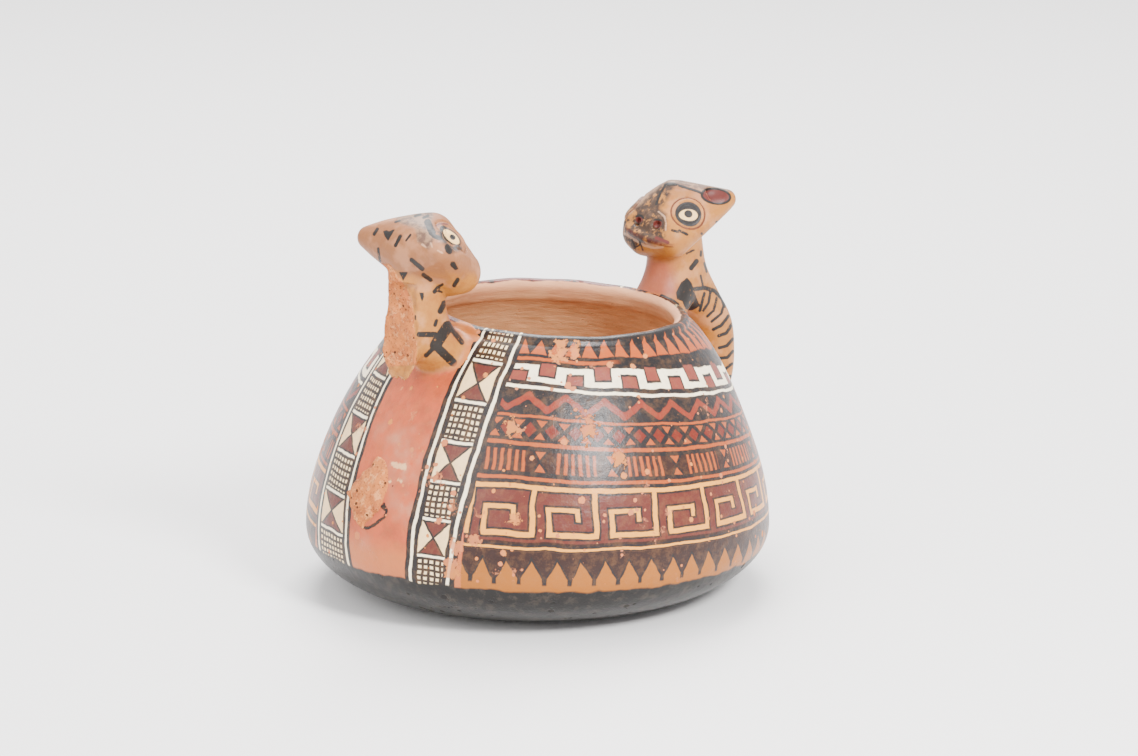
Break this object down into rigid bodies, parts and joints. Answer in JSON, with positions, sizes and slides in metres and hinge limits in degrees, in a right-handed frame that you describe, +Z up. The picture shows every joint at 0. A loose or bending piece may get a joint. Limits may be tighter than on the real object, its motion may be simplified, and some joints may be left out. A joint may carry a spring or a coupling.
{
  "type": "pottery vessel",
  "caption": "Squat painted pottery pot, widest near the ground, with modelled felines on the shoulder, one arching down as a loop handle and one with its body broken off.",
  "frame": {"origin": "on the pot's axis at the ground, the middle of its flat underside", "axes": "+Z up, the felines stand on the X axis with the whole one at +X"},
  "size_m": [0.1835, 0.166, 0.1433],
  "materials": {
    "fired_clay": "fired clay, slip-painted in cream, red, maroon and black and burnished to a soft shine"
  },
  "bodies": {
    "root": {"vessel": "fired_clay"}
  },
  "joints": []
}
